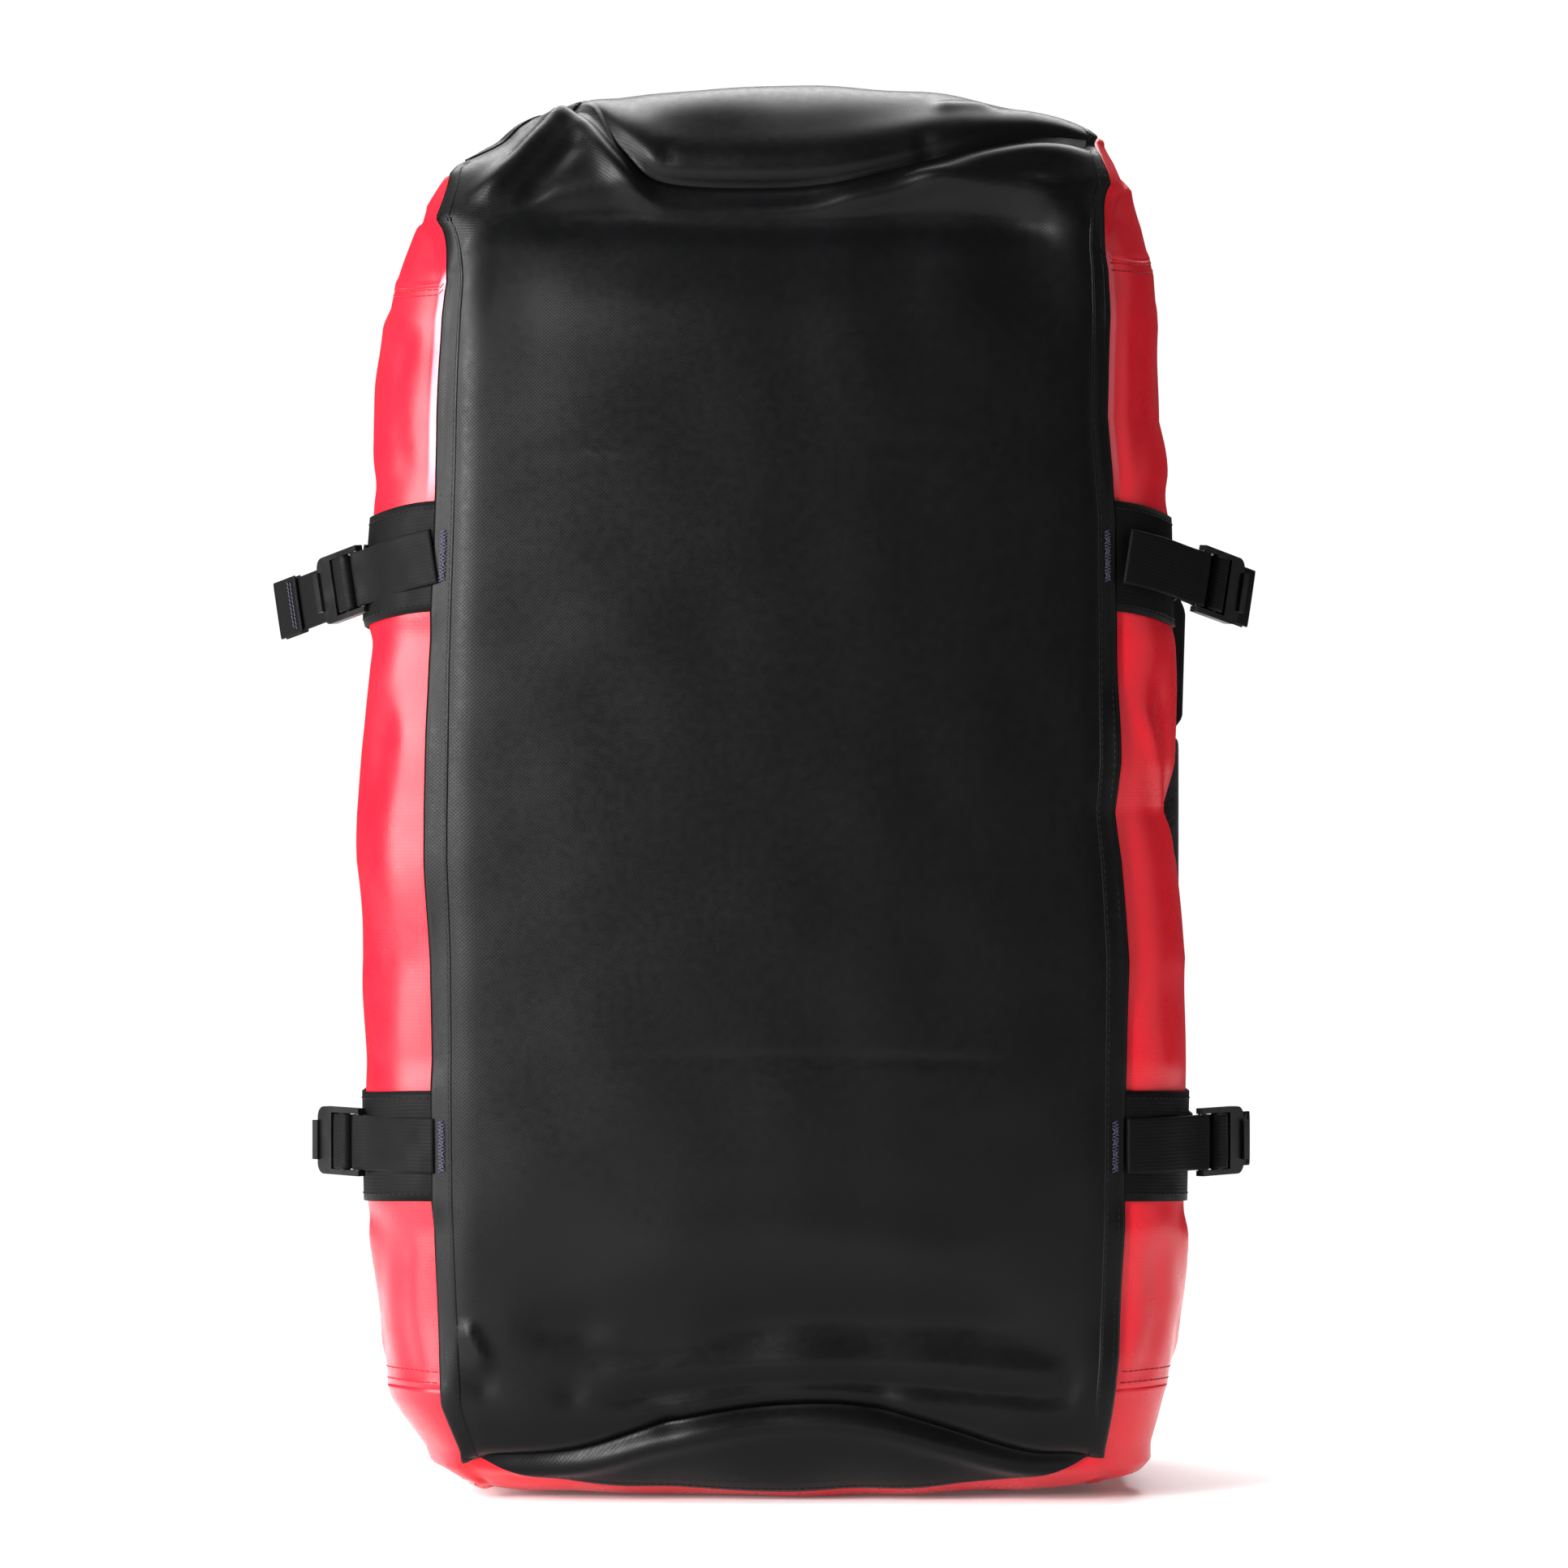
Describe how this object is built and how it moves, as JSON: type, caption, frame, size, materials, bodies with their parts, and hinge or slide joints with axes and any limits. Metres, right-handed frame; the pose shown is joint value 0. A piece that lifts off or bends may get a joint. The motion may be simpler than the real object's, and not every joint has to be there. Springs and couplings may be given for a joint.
{
  "type": "duffel bag",
  "caption": "Expedition duffel standing on its end: red laminated body, black base panel, zipped lid, side compression straps, grab handles and shoulder straps.",
  "frame": {"origin": "middle of the width on the lower end's flat face, 168 mm behind the base laminate", "axes": "+Z along the bag from the lower end to the upper end, -Y out of the flat base panel, +Y out of the round zip side, X across the width"},
  "size_m": [0.4548, 0.3354, 0.6641],
  "materials": {
    "red_laminate": "gloss laminated woven fabric",
    "ballistic_nylon": "matt coated ballistic weave",
    "binding": "woven tape",
    "webbing": "ribbed nylon webbing",
    "zip_tape": "herringbone tape",
    "zip_coil": "satin coil",
    "slider_metal": "black enamel",
    "pull_rubber": "matt",
    "mesh": "open knitted mesh",
    "card": "blank card",
    "clear_film": "clear film",
    "buckle_plastic": "moulded acetal, fine grain",
    "grip_cover": "padded ballistic weave",
    "pad_fabric": "padded spacer mesh"
  },
  "bodies": {
    "bag": {"end_cap_bottom": "red_laminate", "end_patch_bottom": "ballistic_nylon", "end_cap_top": "red_laminate", "end_patch_top": "ballistic_nylon", "base_lining": "red_laminate", "side_panel_right": "red_laminate", "side_panel_left": "red_laminate", "top_panel": "red_laminate", "seam_bindings": "binding", "base_panel": "ballistic_nylon", "zip_tape_body": "zip_tape", "zip_coil_body": "zip_coil", "zip_end_tabs": "binding", "anchor_strap_low_left": "webbing", "anchor_strap_low_right": "webbing", "anchor_strap_high_left": "webbing", "anchor_strap_high_right": "webbing", "side_bands_left": "webbing", "side_bands_right": "webbing", "load_straps_left": "webbing", "load_straps_right": "webbing", "side_handle_tabs": "webbing", "haul_handle_tabs": "webbing", "shoulder_tabs": "webbing"},
    "lid": {"lid_panel": "red_laminate", "zip_tape_lid": "zip_tape", "zip_coil_lid": "zip_coil", "pocket_binding": "binding", "pocket_mesh": "mesh", "pocket_zip": "zip_coil", "id_frame": "binding", "id_card": "card", "id_window": "clear_film"},
    "pocket_slider": {"pocket_slider": "slider_metal"},
    "zip_slider_bottom": {"zip_slider_bottom": "slider_metal"},
    "zip_pull_bottom": {"zip_pull_bottom": "pull_rubber"},
    "zip_slider_top": {"zip_slider_top": "slider_metal"},
    "zip_pull_top": {"zip_pull_top": "pull_rubber"},
    "side_handle_right": {"side_handle_web_right": "webbing", "side_handle_grip_right": "grip_cover"},
    "side_handle_left": {"side_handle_web_left": "webbing", "side_handle_grip_left": "grip_cover"},
    "haul_handle_top": {"haul_handle_web_top": "webbing", "haul_handle_grip_top": "grip_cover"},
    "haul_handle_bottom": {"haul_handle_web_bottom": "webbing", "haul_handle_grip_bottom": "grip_cover"},
    "shoulder_strap_right": {"shoulder_pad_right": "pad_fabric", "shoulder_lock_right": "buckle_plastic", "shoulder_web_right": "webbing"},
    "shoulder_strap_left": {"shoulder_pad_left": "pad_fabric", "shoulder_lock_left": "buckle_plastic", "shoulder_web_left": "webbing"},
    "ladder_lock_low_left": {"ladder_lock_low_left": "buckle_plastic", "strap_tail_low_left": "webbing"},
    "ladder_lock_low_right": {"ladder_lock_low_right": "buckle_plastic", "strap_tail_low_right": "webbing"},
    "ladder_lock_high_left": {"ladder_lock_high_left": "buckle_plastic", "strap_tail_high_left": "webbing"},
    "ladder_lock_high_right": {"ladder_lock_high_right": "buckle_plastic", "strap_tail_high_right": "webbing"}
  },
  "joints": [
    {"name": "lid_hinge", "type": "hinge", "parent": "bag", "child": "lid", "pos_m": [0.134, 0.10786, 0.3225], "axis": [0, 0, -1], "range_deg": [0, 80]},
    {"name": "slider_bottom_travel", "type": "hinge", "parent": "bag", "child": "zip_slider_bottom", "pos_m": [0, -0.024, 0.084], "axis": [0, 0, 1], "range_deg": [0, 71]},
    {"name": "pull_bottom_lift", "type": "hinge", "parent": "zip_slider_bottom", "child": "zip_pull_bottom", "pos_m": [0.15224, 0.09495, 0.084], "axis": [0, 0, 1], "range_deg": [0, 150]},
    {"name": "slider_top_travel", "type": "hinge", "parent": "bag", "child": "zip_slider_top", "pos_m": [0, -0.024, 0.561], "axis": [0, 0, 1], "range_deg": [0, 71]},
    {"name": "pull_top_lift", "type": "hinge", "parent": "zip_slider_top", "child": "zip_pull_top", "pos_m": [0.15224, 0.09495, 0.561], "axis": [0, 0, 1], "range_deg": [0, 150]},
    {"name": "pocket_slider_travel", "type": "slide", "parent": "lid", "child": "pocket_slider", "axis": [0, 0, 1], "range_m": [-0.32, 0.01]},
    {"name": "side_handle_right_swing", "type": "hinge", "parent": "bag", "child": "side_handle_right", "pos_m": [0.186, 0.03287, 0.2965], "axis": [0, 0, -1], "range_deg": [0, 150]},
    {"name": "side_handle_left_swing", "type": "hinge", "parent": "bag", "child": "side_handle_left", "pos_m": [-0.186, 0.03287, 0.2965], "axis": [0, 0, 1], "range_deg": [0, 150]},
    {"name": "haul_handle_top_swing", "type": "hinge", "parent": "bag", "child": "haul_handle_top", "pos_m": [0, 0.06, 0.6501], "axis": [1, 0, 0], "range_deg": [0, 156]},
    {"name": "haul_handle_bottom_swing", "type": "hinge", "parent": "bag", "child": "haul_handle_bottom", "pos_m": [0, 0.06, 0.0179], "axis": [-1, 0, 0], "range_deg": [0, 93]},
    {"name": "shoulder_right_swing", "type": "hinge", "parent": "bag", "child": "shoulder_strap_right", "pos_m": [0.15366, 0.09179, 0.3225], "axis": [0, 0, -1], "range_deg": [0, 25]},
    {"name": "shoulder_left_swing", "type": "hinge", "parent": "bag", "child": "shoulder_strap_left", "pos_m": [-0.15366, 0.09179, 0.3225], "axis": [0, 0, 1], "range_deg": [-20, 25]},
    {"name": "ladder_lock_low_left_tilt", "type": "hinge", "parent": "bag", "child": "ladder_lock_low_left", "pos_m": [-0.19273, -0.1324, 0.163], "axis": [0, 0, 1], "range_deg": [-6, 55]},
    {"name": "ladder_lock_low_right_tilt", "type": "hinge", "parent": "bag", "child": "ladder_lock_low_right", "pos_m": [0.19273, -0.1324, 0.163], "axis": [0, 0, -1], "range_deg": [-6, 55]},
    {"name": "ladder_lock_high_left_tilt", "type": "hinge", "parent": "bag", "child": "ladder_lock_high_left", "pos_m": [-0.192, -0.13295, 0.42054], "axis": [-0.1524, 0.1149, 0.9816], "range_deg": [0, 55]},
    {"name": "ladder_lock_high_right_tilt", "type": "hinge", "parent": "bag", "child": "ladder_lock_high_right", "pos_m": [0.192, -0.13295, 0.42054], "axis": [-0.1524, -0.1149, -0.9816], "range_deg": [0, 55]}
  ]
}
